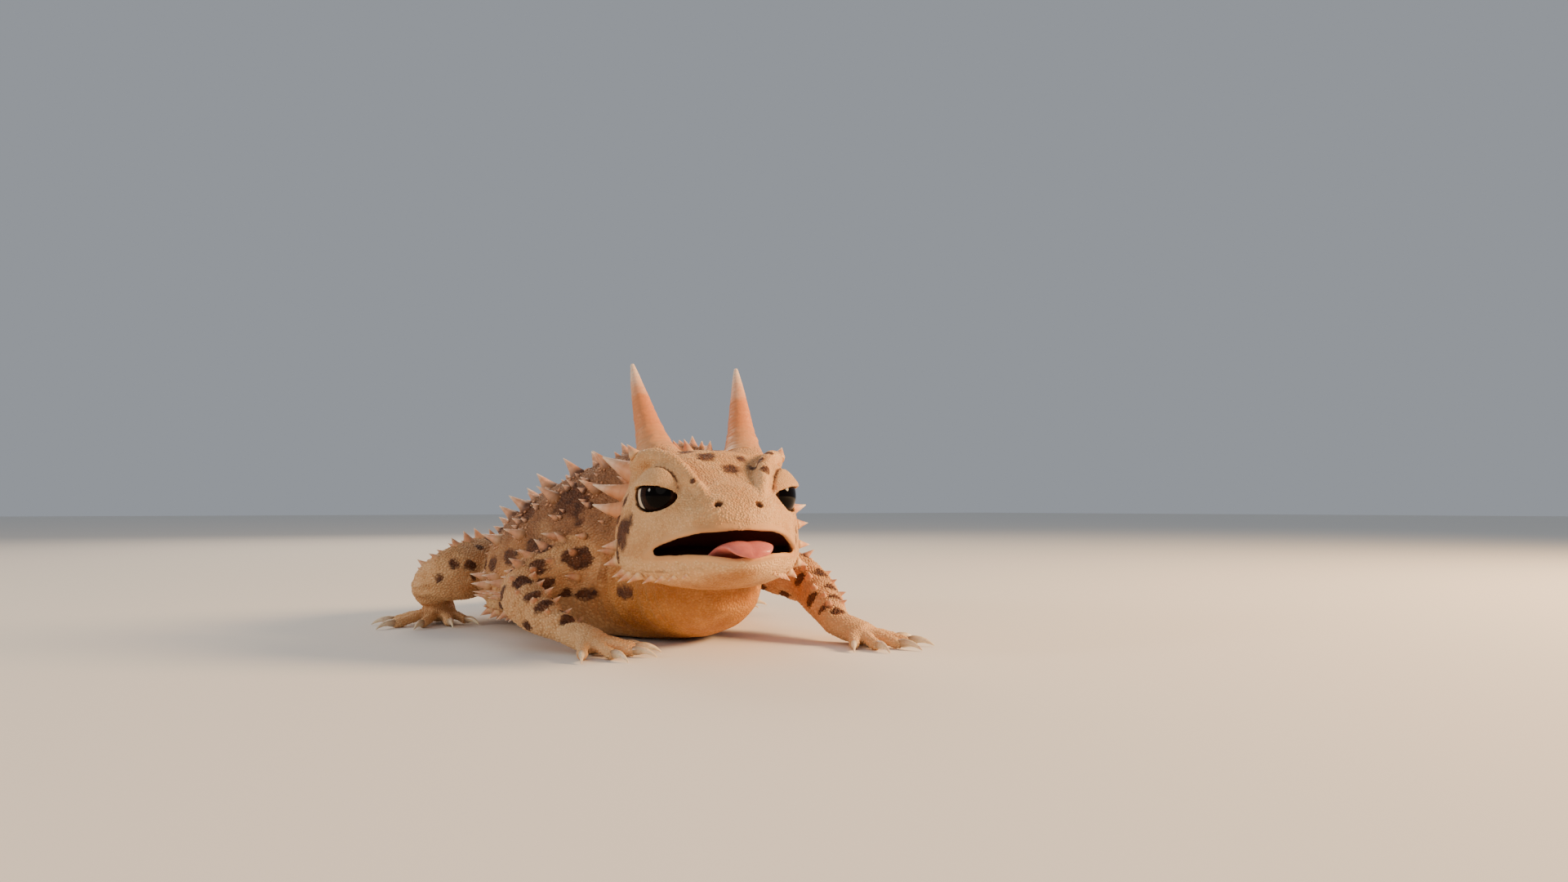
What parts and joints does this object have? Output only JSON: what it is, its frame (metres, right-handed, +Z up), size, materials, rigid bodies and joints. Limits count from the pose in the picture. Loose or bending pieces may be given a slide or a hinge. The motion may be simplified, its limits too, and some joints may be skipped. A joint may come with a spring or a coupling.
{
  "type": "texas horned lizard",
  "caption": "Life-size horned lizard, belly down with spread legs, raised horned head, open mouth and tongue tip, spiny back and flanks, short curved tail.",
  "frame": {"origin": "on the floor under the middle of the whole animal's box", "axes": "the head is towards -Y and the tail towards +Y, the animal's left side is +X, +Z is up, and it rests on its belly and feet at z = 0"},
  "size_m": [0.0892, 0.144, 0.0495],
  "materials": {
    "skin": "dry scaly skin, cream and buff with brown blotches",
    "horn": "dull horn, salmon with pale tips and fine rings",
    "claw": "smooth pale claw",
    "eye": "wet, very dark brown",
    "tongue": "moist pink"
  },
  "bodies": {
    "root": {"claw_fore_left_1": "claw", "claw_fore_left_2": "claw", "claw_fore_left_3": "claw", "claw_fore_left_4": "claw", "claw_fore_left_5": "claw", "claw_fore_right_1": "claw", "claw_fore_right_2": "claw", "claw_fore_right_3": "claw", "claw_fore_right_4": "claw", "claw_fore_right_5": "claw", "claw_hind_left_1": "claw", "claw_hind_left_2": "claw", "claw_hind_left_3": "claw", "claw_hind_left_4": "claw", "claw_hind_left_5": "claw", "claw_hind_right_1": "claw", "claw_hind_right_2": "claw", "claw_hind_right_3": "claw", "claw_hind_right_4": "claw", "claw_hind_right_5": "claw", "eye_left": "eye", "eye_right": "eye", "foot_left": "skin", "foot_right": "skin", "forearm_left": "skin", "forearm_right": "skin", "hand_left": "skin", "hand_right": "skin", "head": "skin", "horn_left": "horn", "horn_right": "horn", "lower_jaw": "skin", "neck": "skin", "shank_left": "skin", "shank_right": "skin", "tail_base": "skin", "tail_tip": "skin", "temple_horn_left_1": "horn", "temple_horn_left_2": "horn", "temple_horn_left_3": "horn", "temple_horn_right_1": "horn", "temple_horn_right_2": "horn", "temple_horn_right_3": "horn", "thigh_left": "skin", "thigh_right": "skin", "tongue": "tongue", "torso": "skin", "upper_arm_left": "skin", "upper_arm_right": "skin"}
  },
  "joints": []
}
